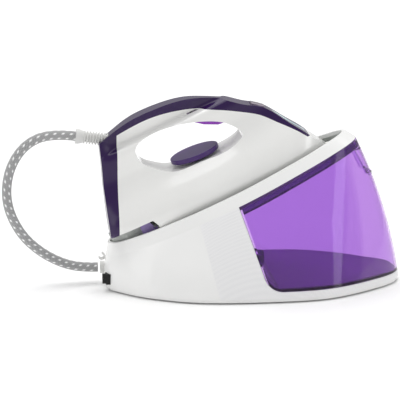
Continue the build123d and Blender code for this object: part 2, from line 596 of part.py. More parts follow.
def build_iron():
    """The whole iron, drawn in the rest's frame and then placed."""
    outside = iron_loft() & iron_side()
    hole = extrude(Plane.XZ * make_face(Spline(*FINGER_HOLE, periodic=True)), 80, both=True)
    heel = outside & heel_side()
    top = (outside - heel_side()) & cover_side()
    shell = outside - heel_side() - cover_side() - hole
    room_side = block((-128, 84), (-80, 80), (SHELL_BOTTOM, 60)) & (Pos(-SHELL_WALL, 0, 0) * iron_side())
    room = iron_loft(SHELL_WALL, ROOM_LEVELS) & room_side
    shell = shell - room
    lever, pocket, pin, switch, spring = build_trigger()
    pin_bore = rod(PIN_R, (TRIGGER_PIN_U, -12, TRIGGER_PIN_W), (TRIGGER_PIN_U, 12, TRIGGER_PIN_W))
    shell = shell - pocket - pin_bore
    frame = boost_frame()
    boost = fillet((frame.location * Pos(0, 0, -BOOST_DEPTH / 2 + 1.2)
                    * Box(BOOST_LENGTH, 2 * BOOST_HALF_WIDTH, BOOST_DEPTH)).edges(), 1.0)
    socket = frame.location * Pos(0, 0, 2 - BOOST_DEPTH / 2) * Box(
        BOOST_LENGTH + 0.8, 2 * BOOST_HALF_WIDTH + 0.8, BOOST_DEPTH + 2 * BOOST_TRAVEL + 5)
    window = top & window_block()
    shell, top = shell - socket, top - socket - window_block()
    dial_place = dial_frame().location
    dial = dial_place * Pos(0, 0, DIAL_HEIGHT / 2) * Cylinder(DIAL_R, DIAL_HEIGHT)
    dial = fillet(dial.edges(), 1.2)
    shaft_bore = dial_place * Cylinder(DIAL_SHAFT_R + RUNNING, 60)
    shaft = dial_place * Pos(0, 0, -9) * Cylinder(DIAL_SHAFT_R, 18)
    shell = shell - shaft_bore - (dial_place * Pos(0, 0, 14.7) * Cylinder(DIAL_R + 1, 30))
    slot = block((-140, -124), (-41, -29), (-5, 2))
    shell = shell - slot
    add("iron_shell", in_rest(shell))
    add("handle_cover", in_rest(top))
    add("heel_cover", in_rest(heel - relief_socket()))
    add("ready_window", in_rest(window))
    add("boost_button", in_rest(boost))
    add("dial", in_rest(dial))
    add("dial_shaft", in_rest(shaft))
    add("trigger", in_rest(lever))
    add("trigger_pin", in_rest(pin))
    add("trigger_switch", in_rest(switch))
    add("trigger_spring", in_rest(spring))


def sole_slab(distance, low, high):
    """Flat block on the sole's outline."""
    return rest_prism(SOLE_OUTLINE, distance, low, high)


def build_sole():
    """Soleplate, steam chamber with its element, heat skirt and what stands on them."""
    top = SOLE_BOTTOM + SOLE_THICKNESS
    add("soleplate", sole_slab(0, SOLE_BOTTOM, top))
    chamber = sole_slab(14, top, top + CHAMBER_HEIGHT) & in_rest(block((-118, 78), (-60, 60), (-20, 20)))
    path = FilletPolyline((-95, 26, 0), (66, 14, 0), (66, -14, 0), (-95, -26, 0), radius=12)
    plane = Plane(origin=path @ 0, z_dir=path % 0)
    groove = Pos(0, 0, top + 4.5) * sweep(plane * Circle(3.2), path=path)
    add("steam_chamber", chamber - in_rest(groove))
    add("chamber_element", in_rest(groove))
    skirt = sole_slab(4, top, SHELL_BOTTOM) - sole_slab(8, top - 1, SHELL_BOTTOM + 1)
    add("heat_skirt", skirt)
    high = top + CHAMBER_HEIGHT
    add("thermostat", in_rest(block((DIAL_U - 9, DIAL_U + 9), (-9, 9), (high, high + 12))))
    add("terminal_block", in_rest(block((-120, -104), (-12, 12), (high, high + 10))))
    bolts = [in_rest(rod(3.5, (u, v, high), (u, v, high + 3))) for u, v in ((-80, 34), (-80, -34), (72, 0))]
    add("chamber_bolts", Compound(bolts))
    add("chamber_tube", in_rest(rod(3, (-30, 0, high), (-30, 0, high + 20))))
    add("light_guide", in_rest(rod(2.5, (20, 0, high), (20, 0, high + 24))))


def relief_line():
    """Ends of the strain relief, in the station's frame: at the hose and inside the heel."""
    tip = Vector(*HOSE_ROUTE[0])
    run = (tip - Vector(*HOSE_ROUTE[1])).normalized()
    return tip, tip + run * HOSE_RELIEF_LENGTH


def relief_socket():
    tip, root = relief_line()
    bar = rod(HOSE_D / 2 + 2.5, tuple(tip), tuple(root + (root - tip) * 0.3))
    return REST.location.inverse() * bar


def build_relief():
    """Ribbed sleeve that carries the hose out of the heel."""
    tip, root = relief_line()
    run = (root - tip).normalized()
    sleeve = rod(HOSE_D / 2 + 1.4, tuple(tip), tuple(root + run * 9))
    for i in range(8):
        rib = tip + run * (1.5 + 3.6 * i)
        sleeve += rod(HOSE_D / 2 + 2.4, tuple(rib), tuple(rib + run * 1.8))
    add("strain_relief", sleeve)


def main():
    """Build every piece, move it to the object's middle and write it."""
    build_walls()
    build_base()
    build_rim()
    build_bulkhead()
    build_boiler()
    build_glands()
    build_controls()
    build_lock()
    build_tank()
    build_iron()
    build_sole()
    build_relief()
    add("steam_hose", steam_hose())
    os.makedirs("parts", exist_ok=True)
    for name, shape in PIECES.items():
        placed = Pos(CENTRE_SHIFT, 0, 0) * shape
        placed.label = name
        export_step(placed, f"parts/{name}.step")
        print(name, "solids", len(placed.solids()), "volume", round(placed.volume))


main()
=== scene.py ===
"""Steam generator iron: finishes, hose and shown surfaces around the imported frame.

Metres, in the frame's own axes: +X towards the tank, +Y to the far side, +Z up.
"""

import logging
import math
from dataclasses import dataclass
from enum import Enum
from typing import Any

import bpy
import numpy as np
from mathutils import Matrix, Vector


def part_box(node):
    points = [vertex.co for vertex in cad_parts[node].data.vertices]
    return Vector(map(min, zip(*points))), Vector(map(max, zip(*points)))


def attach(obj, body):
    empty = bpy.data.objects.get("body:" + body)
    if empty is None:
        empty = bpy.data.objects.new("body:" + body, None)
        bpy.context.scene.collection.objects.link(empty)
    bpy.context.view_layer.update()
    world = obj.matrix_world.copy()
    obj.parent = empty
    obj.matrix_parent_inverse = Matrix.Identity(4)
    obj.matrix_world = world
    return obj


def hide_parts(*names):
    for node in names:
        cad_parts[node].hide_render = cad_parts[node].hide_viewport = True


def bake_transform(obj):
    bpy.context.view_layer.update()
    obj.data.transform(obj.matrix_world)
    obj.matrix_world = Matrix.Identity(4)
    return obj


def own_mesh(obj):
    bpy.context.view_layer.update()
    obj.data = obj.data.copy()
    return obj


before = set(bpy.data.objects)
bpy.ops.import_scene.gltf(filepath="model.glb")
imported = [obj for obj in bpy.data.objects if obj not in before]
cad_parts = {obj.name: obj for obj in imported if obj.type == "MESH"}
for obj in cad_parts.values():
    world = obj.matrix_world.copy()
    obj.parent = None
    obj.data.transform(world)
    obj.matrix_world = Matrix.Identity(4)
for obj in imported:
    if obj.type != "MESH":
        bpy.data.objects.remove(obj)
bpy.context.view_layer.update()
LOG = logging.getLogger("steam_iron")
MM = 0.001
SHIFT = np.array([2.0, 0.0, 0.0])  # the frame stands 2 mm forward of the drawing's X 0
SLOPE = math.radians(24.5)  # slope of the rest
REST_HEIGHT = 141.5  # height of the rim's top plane above X 0, mm
REST_U = np.array([math.cos(SLOPE), 0.0, math.sin(SLOPE)])
REST_W = np.array([-math.sin(SLOPE), 0.0, math.cos(SLOPE)])
REST_ORIGIN = np.array([0.0, 0.0, REST_HEIGHT])
ACROSS = np.array([0.0, 1.0, 0.0])


# ---- colour and nodes ----------------------------------------------------------------------------
def linear(code: str) -> tuple[float, float, float, float]:
    """Turn an sRGB hex colour into linear light.

    Args:
        code: Six hex digits, with or without a leading #.

    Returns:
        Red, green, blue and alpha 1.
    """
    raw = np.array([int(code.lstrip("#")[i:i + 2], 16) for i in (0, 2, 4)]) / 255
    lin = np.where(raw <= 0.04045, raw / 12.92, ((raw + 0.055) / 1.055) ** 2.4)
    return (float(lin[0]), float(lin[1]), float(lin[2]), 1.0)


def put(tree: bpy.types.NodeTree, kind: str, settings: dict[str, Any] | None = None,
        links: dict[Any, Any] | None = None) -> bpy.types.Node:
    """Add one node.

    Args:
        tree: The material's node tree.
        kind: The node's type name.
        settings: Attributes, or input names and indices, with their values.
        links: Input names or indices, with the output sockets that feed them.

    Returns:
        The new node.
    """
    made = tree.nodes.new(kind)
    for key, value in (settings or {}).items():
        if isinstance(key, str) and hasattr(made, key):
            setattr(made, key, value)
        else:
            made.inputs[key].default_value = value
    for key, source in (links or {}).items():
        tree.links.new(source, made.inputs[key])
    return made


def ramp(tree: bpy.types.NodeTree, source: bpy.types.NodeSocket,
         stops: list[tuple[float, str]]) -> bpy.types.NodeSocket:
    """Colour ramp over a value.

    Args:
        tree: The material's node tree.
        source: The value, from 0 to 1.
        stops: Positions and hex colours.

    Returns:
        The colour output.
    """
    made = put(tree, "ShaderNodeValToRGB", links={"Fac": source})
    for place, (at, code) in enumerate(stops):
        element = made.color_ramp.elements[place] if place < 2 else made.color_ramp.elements.new(at)
        element.position = at
        element.color = linear(code)
    return made.outputs["Color"]


def start_material(name: str) -> tuple[bpy.types.Material, bpy.types.NodeTree, bpy.types.Node]:
    """New node material with only its shader.

    Args:
        name: The finish's name.

    Returns:
        The material, its tree and its Principled shader.
    """
    material = bpy.data.materials.new(name)
    material.use_nodes = True
    tree = material.node_tree
    return material, tree, tree.nodes["Principled BSDF"]


@dataclass(frozen=True)
class Moulding:
    """Injection moulded plastic: an even colour with a hint of flow marks, and the tool's grain.

    Attributes hold the base and shade colours in hex, the roughness and how far it wanders, the
    grain's spacing and depth in mm, the clear gloss over it and the strength of its reflection.
    """

    name: str
    base: str
    shade: str
    rough: float = 0.3
    wander: float = 0.05
    grain_mm: float = 0.8
    depth_mm: float = 0.01
    coat: float = 0.0
    specular: float = 0.5

    def material(self) -> bpy.types.Material:
        """Build the plastic's material."""
        made, tree, shader = start_material(self.name)
        place = put(tree, "ShaderNodeTexCoord").outputs["Object"]
        flow = put(tree, "ShaderNodeTexNoise", {"Scale": 14.0, "Detail": 2.0, "Roughness": 0.4},
                   {"Vector": place})
        grain = put(tree, "ShaderNodeTexNoise", {"Scale": 1 / (self.grain_mm * MM), "Detail": 2.0},
                    {"Vector": place})
        tree.links.new(ramp(tree, flow.outputs["Fac"], [(0.3, self.shade), (0.7, self.base)]),
                       shader.inputs["Base Color"])
        rough = put(tree, "ShaderNodeMapRange",
                    {"To Min": self.rough - self.wander, "To Max": self.rough + self.wander},
                    {"Value": grain.outputs["Fac"]})
        bump = put(tree, "ShaderNodeBump", {"Strength": 0.35, "Distance": self.depth_mm * MM},
                   {"Height": grain.outputs["Fac"]})
        tree.links.new(rough.outputs["Result"], shader.inputs["Roughness"])
        tree.links.new(bump.outputs["Normal"], shader.inputs["Normal"])
        shader.inputs["IOR"].default_value = 1.53
        shader.inputs["Specular IOR Level"].default_value = self.specular
        shader.inputs["Coat Weight"].default_value = self.coat
        shader.inputs["Coat Roughness"].default_value = 0.06
        return made


@dataclass(frozen=True)
class SparkDots:
    """White ABS with rows of fine raised dots, as a spark-eroded tool leaves them: a soft matt
    sheen beside the polished housing. The dots are set wide enough apart to show. The hollows
    between the dots are painted darker, as painted shade."""

    name: str
    base: str
    valley_shade: str
    pitch_mm: float = 1.6

    def material(self) -> bpy.types.Material:
        """Build the dotted plastic's material."""
        made, tree, shader = start_material(self.name)
        place = put(tree, "ShaderNodeTexCoord").outputs["Object"]
        turned = put(tree, "ShaderNodeMapping", {"Rotation": (0.0, 0.4, 0.0)}, {"Vector": place})
        dots = put(tree, "ShaderNodeTexVoronoi",
                   {"Scale": 1 / (self.pitch_mm * MM), "Randomness": 0.0},
                   {"Vector": turned.outputs["Vector"]})
        height = put(tree, "ShaderNodeMapRange",
                     {"From Min": 0.15, "From Max": 0.5, "To Min": 1.0, "To Max": 0.0},
                     {"Value": dots.outputs["Distance"]})
        # the hollows between the dots get the darker colour: painted shade
        tree.links.new(ramp(tree, height.outputs["Result"], [(0.0, self.valley_shade), (1.0, self.base)]),
                       shader.inputs["Base Color"])
        bump = put(tree, "ShaderNodeBump", {"Strength": 0.2, "Distance": 0.00006},
                   {"Height": height.outputs["Result"]})
        tree.links.new(bump.outputs["Normal"], shader.inputs["Normal"])
        shader.inputs["Roughness"].default_value = 0.45
        shader.inputs["IOR"].default_value = 1.53
        return made


@dataclass(frozen=True)
class ClearViolet:
    """Tinted see-through SAN, polished inside and out: light takes the violet at each wall it
    crosses, so that the far edges and the floor read darker than the near wall. The front face is
    painted paler than the rest, a painted highlight where the light falls on it."""

    name: str
    tint: str
    lit_front: str
    rough: float = 0.04
    clear: float = 0.95
    front_low_mm: float = 70.0  # half width of the front face with its painted highlight, at the tank's foot
    front_high_mm: float = 35.0  # and at its top
    height_mm: float = 126.0  # from the foot to the top
    fade_mm: tuple[float, float] = (2.0, 6.0)  # where the front's painted highlight ends, beyond its half width

    def material(self) -> bpy.types.Material:
        """Build the tinted plastic's material."""
        made, tree, shader = start_material(self.name)
        place = put(tree, "ShaderNodeTexCoord").outputs["Object"]
        flow = put(tree, "ShaderNodeTexNoise", {"Scale": 18.0, "Detail": 1.0}, {"Vector": place})
        bump = put(tree, "ShaderNodeBump", {"Strength": 0.12, "Distance": 0.0006},
                   {"Height": flow.outputs["Fac"]})
        tree.links.new(bump.outputs["Normal"], shader.inputs["Normal"])
        parts = put(tree, "ShaderNodeSeparateXYZ", links={"Vector": place})
        width = put(tree, "ShaderNodeMath", {"operation": "ABSOLUTE"}, {0: parts.outputs["Y"]})
        lean = (self.front_low_mm - self.front_high_mm) / self.height_mm
        edge = put(tree, "ShaderNodeMath", {"operation": "MULTIPLY_ADD", 1: lean},
                   {0: parts.outputs["Z"], 2: width.outputs[0]})
        fade_from, fade_to = ((self.front_low_mm + beyond) * MM for beyond in self.fade_mm)
        # the front face takes the paler colour: a painted highlight
        face = put(tree, "ShaderNodeMapRange",
                   {"interpolation_type": "SMOOTHSTEP", "From Min": fade_from, "From Max": fade_to},
                   {"Value": edge.outputs[0]})
        tree.links.new(ramp(tree, face.outputs["Result"], [(0.0, self.lit_front), (1.0, self.tint)]),
                       shader.inputs["Base Color"])
        shader.inputs["Roughness"].default_value = self.rough
        shader.inputs["IOR"].default_value = 1.3
        shader.inputs["Transmission Weight"].default_value = self.clear
        return made


@dataclass(frozen=True)
class Metal:
    """Bare or brushed metal: fine lines along one axis blur the reflection across them."""

    name: str
    base: str
    shade: str
    rough: float = 0.3
    line_mm: float = 0.5

    def material(self) -> bpy.types.Material:
        """Build the metal's material."""
        made, tree, shader = start_material(self.name)
        place = put(tree, "ShaderNodeTexCoord").outputs["Object"]
        drawn = put(tree, "ShaderNodeMapping", {"Scale": (0.04, 1.0, 1.0)}, {"Vector": place})
        lines = put(tree, "ShaderNodeTexNoise", {"Scale": 1 / (self.line_mm * MM), "Detail": 3.0},
                    {"Vector": drawn.outputs["Vector"]})
        tree.links.new(ramp(tree, lines.outputs["Fac"], [(0.3, self.shade), (0.7, self.base)]),
                       shader.inputs["Base Color"])
        rough = put(tree, "ShaderNodeMapRange", {"To Min": self.rough - 0.08, "To Max": self.rough + 0.1},
                    {"Value": lines.outputs["Fac"]})
        bump = put(tree, "ShaderNodeBump", {"Strength": 0.2, "Distance": 0.00002},
                   {"Height": lines.outputs["Fac"]})
        tree.links.new(rough.outputs["Result"], shader.inputs["Roughness"])
        tree.links.new(bump.outputs["Normal"], shader.inputs["Normal"])
        shader.inputs["Metallic"].default_value = 1.0
        return made


@dataclass(frozen=True)
class WovenSleeve:
    """Cotton sleeve braided over the hose: grey yarns that cross, with a white fleck yarn that
    comes up at even steps in rows round the hose. The low parts of the weave are painted darker,
    as painted shade."""

    name: str = "cotton_sleeve_woven"
    yarn: str = "#bdbdbd"
    hollow_shade: str = "#7e7e80"
    fleck: str = "#f6f6f6"
    yarns: float = 10.0  # yarns round the hose, each way
    yarn_mm: float = 2.4  # length along the hose from one yarn to the next
    rows: int = 6
    fleck_mm: float = 10.0
    fleck_edge: tuple[float, float] = (0.58, 0.72)  # where a fleck's edge starts and is full

    def material(self) -> bpy.types.Material:
        """Build the sleeve's material, on the hose's UV map: turns across, metres along."""
        made, tree, shader = start_material(self.name)
        uv = put(tree, "ShaderNodeTexCoord").outputs["UV"]
        parts = put(tree, "ShaderNodeSeparateXYZ", links={"Vector": uv})
        turn, along = parts.outputs["X"], parts.outputs["Y"]

        def sum_of(a: float, b: float) -> bpy.types.NodeSocket:
            """Turn times a plus distance times b, wrapped to 0..1."""
            first = put(tree, "ShaderNodeMath", {"operation": "MULTIPLY", 1: a}, {0: turn})
            both = put(tree, "ShaderNodeMath", {"operation": "MULTIPLY_ADD", 1: b},
                       {0: along, 2: first.outputs[0]})
            return put(tree, "ShaderNodeMath", {"operation": "FRACT"},
                       {0: both.outputs[0]}).outputs[0]

        def hill(source: bpy.types.NodeSocket) -> bpy.types.NodeSocket:
            """Height 0 at the ends of a 0..1 span and 1 in its middle."""
            ping = put(tree, "ShaderNodeMath", {"operation": "PINGPONG", 1: 0.5}, {0: source})
            return put(tree, "ShaderNodeMath", {"operation": "MULTIPLY", 1: 2.0},
                       {0: ping.outputs[0]}).outputs[0]

        pitch = 1 / (self.yarn_mm * MM)
        left, right = hill(sum_of(self.yarns, pitch)), hill(sum_of(-self.yarns, pitch))
        weave = put(tree, "ShaderNodeMath", {"operation": "MAXIMUM"},
                    {0: left, 1: right}).outputs[0]
        step = 1 / (self.fleck_mm * MM)
        row = hill(sum_of(float(self.rows), 0.0))
        length_way = hill(sum_of(float(self.rows) / 2, step))
        across = put(tree, "ShaderNodeMath", {"operation": "SMOOTH_MIN", 2: 0.1},
                     {0: row, 1: length_way})
        spot = put(tree, "ShaderNodeMapRange",
                   {"interpolation_type": "SMOOTHSTEP", "From Min": self.fleck_edge[0],
                    "From Max": self.fleck_edge[1]}, {"Value": across.outputs[0]})
        # the low parts of the weave get the darker colour: painted shade
        ground = ramp(tree, weave, [(0.45, self.hollow_shade), (0.95, self.yarn)])
        mix = put(tree, "ShaderNodeMix", {"data_type": "RGBA", 7: linear(self.fleck)},
                  {0: spot.outputs["Result"], 6: ground})
        tree.links.new(mix.outputs[2], shader.inputs["Base Color"])
        bump = put(tree, "ShaderNodeBump", {"Strength": 0.6, "Distance": 0.0005}, {"Height": weave})
        tree.links.new(bump.outputs["Normal"], shader.inputs["Normal"])
        shader.inputs["Roughness"].default_value = 0.85
        shader.inputs["Sheen Weight"].default_value = 0.3
        return made


@dataclass(frozen=True)
class WindowGlow:
    """Polycarbonate light window: deep at the handle, brightest a third of the way down."""

    name: str = "polycarbonate_window_cyan"
    light: str = "#6fe8f2"
    deep: str = "#0b4a63"
    nose: str = "#1b93ac"
    brightest: float = 0.35  # share of the way from the handle to the nose

    def material(self) -> bpy.types.Material:
        """Build the window's material, its colours spread along X over the window's box."""
        made, tree, shader = start_material(self.name)
        place = put(tree, "ShaderNodeTexCoord").outputs["Object"]
        parts = put(tree, "ShaderNodeSeparateXYZ", links={"Vector": place})
        low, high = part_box("ready_window")
        run = put(tree, "ShaderNodeMapRange", {"From Min": low.x, "From Max": high.x},
                  {"Value": parts.outputs["X"]})
        stops = [(0.0, self.deep), (self.brightest, self.light), (1.0, self.nose)]
        tree.links.new(ramp(tree, run.outputs["Result"], stops), shader.inputs["Base Color"])
        shader.inputs["Roughness"].default_value = 0.12
        shader.inputs["Coat Weight"].default_value = 0.6
        return made


class Finish(Enum):
    """Every finish on the iron and its station."""

    CASE = Moulding("abs_white_polished", "#f6f6f5", "#f2f2f1", 0.24, 0.02, 1.2, 0.004, 0.25)
    SHELL = Moulding("abs_white_high_gloss", "#f0f0ee", "#ebebe9", 0.16, 0.02, 1.2, 0.003, 0.5)
    # the third colour is the painted shade in the hollows between the dots
    CHEEK = SparkDots("abs_white_spark_dots", "#f4f4f4", "#ebebec")
    # the second colour is the paler front face: a painted highlight
    TANK = ClearViolet("san_violet_clear", "#cda6ea", "#dcbcf2")
    TANK_DEEP = ClearViolet("san_violet_deep", "#8a52b4", "#8a52b4", 0.12, 0.8)
    # deep violet for the sheet that darkens the tank's lower part: painted shade
    TANK_FLOOR_SHADE = Moulding("san_violet_floor_shade", "#a468c8", "#9a5fc0", 0.25, 0.03, 0.9, 0.004)
    VIOLET = Moulding("abs_deep_violet_satin", "#2b1049", "#260c42", 0.22, 0.03, 0.9, 0.004, 0.0, 0.35)
    DIAL_TOP = Moulding("abs_dial_violet_satin", "#45276a", "#3d2160", 0.36, 0.04, 0.9, 0.006, 0.0, 0.35)
    LOCK = Moulding("pom_lock_lilac", "#8a76b0", "#8370a8", 0.4)
    TRIGGER = Moulding("pom_trigger_violet", "#9a3fc4", "#9138ba", 0.35)
    TRAY = Moulding("pbt_tray_warm_grey", "#b4b8b4", "#aeb2ae", 0.45, 0.05, 0.8, 0.02)
    PAD = Moulding("silicone_pad_grey", "#8d918e", "#868a87", 0.7, 0.05, 0.6, 0.03)
    RELIEF = Moulding("tpe_relief_pale", "#dcdcda", "#d4d4d2", 0.5, 0.05, 0.7, 0.02)
    RUBBER = Moulding("rubber_foot_black", "#1c1c1d", "#151516", 0.85, 0.05, 0.7, 0.03)
    INNER = Moulding("pp_inner_natural", "#d9d9d4", "#cfcfca", 0.55, 0.05, 0.8, 0.02)
    KNOB = Moulding("abs_knob_pale_grey", "#cfd0d2", "#c8c9cb", 0.4)
    BOARD = Moulding("fr4_board_green", "#1f6b3a", "#195c31", 0.5, 0.05, 0.4, 0.01)
    SLEEVE = WovenSleeve()
    WINDOW = WindowGlow()
    SOLE = Metal("aluminium_sole_ground", "#b9bcc0", "#a5a8ac", 0.32)
    STEEL = Metal("stainless_boiler_drawn", "#a9abad", "#95979a", 0.3)
    BRASS = Metal("brass_fitting_turned", "#b5924a", "#a07f3c", 0.32)
    TRIM = Metal("zinc_trim_satin_chrome", "#a79ca8", "#988d99", 0.3, 0.3)


NODE_FINISH: dict[Finish, tuple[str, ...]] = {
    Finish.CASE: ("rear_housing", "rim_cover", "base_pan"),
    Finish.SHELL: ("iron_shell",),
    Finish.CHEEK: ("front_frame",),
    Finish.TANK: ("water_tank", "fill_door"),
    Finish.TANK_DEEP: ("tank_deck", "grip_lip", "valve_seat", "outlet_valve"),
    Finish.VIOLET: ("handle_cover", "heel_cover"),
    Finish.DIAL_TOP: ("dial",),
    Finish.LOCK: ("lock_slider",),
    Finish.TRIGGER: ("trigger",),
    Finish.TRAY: ("rest_tray", "heel_rest"),
    Finish.PAD: ("rest_pads",),
    Finish.RELIEF: ("strain_relief", "hose_clip", "hose_gland"),
    Finish.RUBBER: ("rubber_feet", "mains_gland", "pump_mounts", "coupling_seal"),
    Finish.INNER: ("bulkhead", "tank_coupling", "water_tube", "boiler_bracket", "steam_valve",
                   "water_pump", "power_switch", "drain_pipe", "terminal_block", "trigger_switch",
                   "chamber_tube", "light_guide", "heat_skirt", "boiler_cutout"),
    Finish.KNOB: ("power_button", "descale_knob"),
    Finish.BOARD: ("control_board",),
    Finish.SLEEVE: ("steam_hose",),
    Finish.WINDOW: ("ready_window",),
    Finish.SOLE: ("soleplate", "steam_chamber"),
    Finish.STEEL: ("base_screws", "boiler_shell", "boiler_element", "door_pin", "trigger_pin",
                   "trigger_spring", "chamber_element", "chamber_bolts", "dial_shaft"),
    Finish.BRASS: ("thermostat", "steam_pipe"),
    Finish.TRIM: ("boost_button",),
}


class Wardrobe:
    """Makes each finish's material once and dresses pieces in it."""

    def __init__(self) -> None:
        """Start with no material made."""
        self.made: dict[Finish, bpy.types.Material] = {}

    def dress(self, piece: bpy.types.Object, finish: Finish) -> None:
        """Put one finish on the whole of a piece."""
        if finish not in self.made:
            self.made[finish] = finish.value.material()
        piece.data.materials.clear()
        piece.data.materials.append(self.made[finish])

    def dress_frame(self) -> None:
        """Dress every node of the frame, and report it."""
        for finish, names in NODE_FINISH.items():
            for name in names:
                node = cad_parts[name]
                self.dress(node, finish)
                LOG.info("%s: %s", name, finish.value.name)


# ---- shapes --------------------------------------------------------------------------------------
def flow_line(points: np.ndarray, count: int) -> np.ndarray:
    """Smooth line through points: a cubic in each gap, with the slope and the bend carried on.

    The parameter is the distance between the points, and the slopes come from one set of linear
    equations, with no bend at the ends.

    Args:
        points: The points, N by D.
        count: How many points to return.

    Returns:
        Points along the line, evenly spaced in the parameter.
    """
    points = np.asarray(points, float)
    gap = np.linalg.norm(np.diff(points, axis=0), axis=1)
    at = np.concatenate([[0.0], np.cumsum(gap)])
    size = len(points)
    rows, right = np.zeros((size, size)), np.zeros_like(points)
    middle = np.arange(1, size - 1)
    rows[middle, middle - 1] = 1 / gap[:-1]
    rows[middle, middle] = 2 * (1 / gap[:-1] + 1 / gap[1:])
    rows[middle, middle + 1] = 1 / gap[1:]
    slope = np.diff(points, axis=0) / gap[:, None]
    right[1:-1] = 3 * (slope[:-1] / gap[:-1, None] + slope[1:] / gap[1:, None])
    rows[0, :2], rows[-1, -2:] = (2, 1), (1, 2)
    right[0], right[-1] = 3 * slope[0], 3 * slope[-1]
    tangent = np.linalg.solve(rows, right)
    x = np.linspace(0, at[-1], count)
    i = np.clip(np.searchsorted(at, x, side="right") - 1, 0, size - 2)
    h = gap[i][:, None]
    t = ((x - at[i]) / gap[i])[:, None]
    return ((2 * t**3 - 3 * t**2 + 1) * points[i] + (t**3 - 2 * t**2 + t) * h * tangent[i]
            + (3 * t**2 - 2 * t**3) * points[i + 1] + (t**3 - t**2) * h * tangent[i + 1])


def grid_mesh(name: str, grid: np.ndarray, wrap: bool = False, uv: np.ndarray | None = None,
              cap: bool = False) -> bpy.types.Object:
    """Mesh of a grid of points, rows by columns, in metres.

    Quads join each row to the next; with wrap the last column joins the first; with cap a fan
    closes both ends at the row's middle.

    Args:
        name: The piece's name.
        grid: Points, rows by columns by 3.
        wrap: Whether the rows are closed rings.
        uv: A UV for each point, rows by columns (plus one where wrapped) by 2.
        cap: Whether to close the first and last ring.

    Returns:
        The piece's object, at the origin, smooth.
    """
    rows, cols = grid.shape[:2]
    points = grid.reshape(-1, 3)
    index = np.arange(rows * cols).reshape(rows, cols)
    across = np.concatenate([index, index[:, :1]], axis=1) if wrap else index
    corners = [across[:-1, :-1], across[:-1, 1:], across[1:, 1:], across[1:, :-1]]
    faces = np.stack(corners, axis=-1).reshape(-1, 4)
    loops = faces.reshape(-1)
    sizes = np.full(len(faces), 4)
    if cap:
        hubs = np.stack([grid[0].mean(0), grid[-1].mean(0)])
        points = np.concatenate([points, hubs])
        first, last = rows * cols, rows * cols + 1
        lit_front = np.stack([across[0, 1:], across[0, :-1], np.full(cols, first)], axis=-1)
        back = np.stack([across[-1, :-1], across[-1, 1:], np.full(cols, last)], axis=-1)
        loops = np.concatenate([loops, lit_front.reshape(-1), back.reshape(-1)])
        sizes = np.concatenate([sizes, np.full(2 * cols, 3)])
    mesh = bpy.data.meshes.new(name)
    mesh.vertices.add(len(points))
    mesh.vertices.foreach_set("co", points.astype(np.float32).ravel())
    mesh.loops.add(len(loops))
    mesh.loops.foreach_set("vertex_index", loops.astype(np.int32))
    mesh.polygons.add(len(sizes))
    mesh.polygons.foreach_set("loop_start", (np.cumsum(sizes) - sizes).astype(np.int32))
    mesh.update(calc_edges=True)
    mesh.polygons.foreach_set("use_smooth", np.ones(len(sizes), bool))
    if uv is not None:
        wide = np.stack([uv[:-1, :-1], uv[:-1, 1:], uv[1:, 1:], uv[1:, :-1]], axis=2).reshape(-1, 2)
        full = np.zeros((len(loops), 2))
        full[:len(wide)] = wide
        mesh.uv_layers.new(name="UVMap").data.foreach_set("uv", full.astype(np.float32).ravel())
    mesh.validate()
    piece = bpy.data.objects.new(name, mesh)
    bpy.context.scene.collection.objects.link(piece)
    return piece


def tube_grid(path: np.ndarray, radius: np.ndarray, sides: int,
              towards: np.ndarray = ACROSS) -> tuple[np.ndarray, np.ndarray]:
    """Rings along a path, square to it: centre + radius (cos t · side + sin t · up).

    Each ring's side is one fixed direction with its part along the path taken out.

    Args:
        path: Centre points, N by 3.
        radius: The ring radius at each point.
        sides: Points round each ring.
        towards: The fixed direction, nowhere along the path.

    Returns:
        The grid, N by sides by 3, and the distance along the path at each ring.
    """
    step = np.gradient(path, axis=0)
    run = step / np.linalg.norm(step, axis=1)[:, None]
    side = towards - run * (run @ towards)[:, None]
    side /= np.linalg.norm(side, axis=1)[:, None]
    up = np.cross(run, side)
    angle = np.linspace(0, 2 * np.pi, sides, endpoint=False)
    ring = (np.cos(angle)[None, :, None] * side[:, None]
            + np.sin(angle)[None, :, None] * up[:, None])
    grid = path[:, None] + radius[:, None, None] * ring
    along = np.concatenate([[0.0], np.cumsum(np.linalg.norm(np.diff(path, axis=0), axis=1))])
    return grid, along


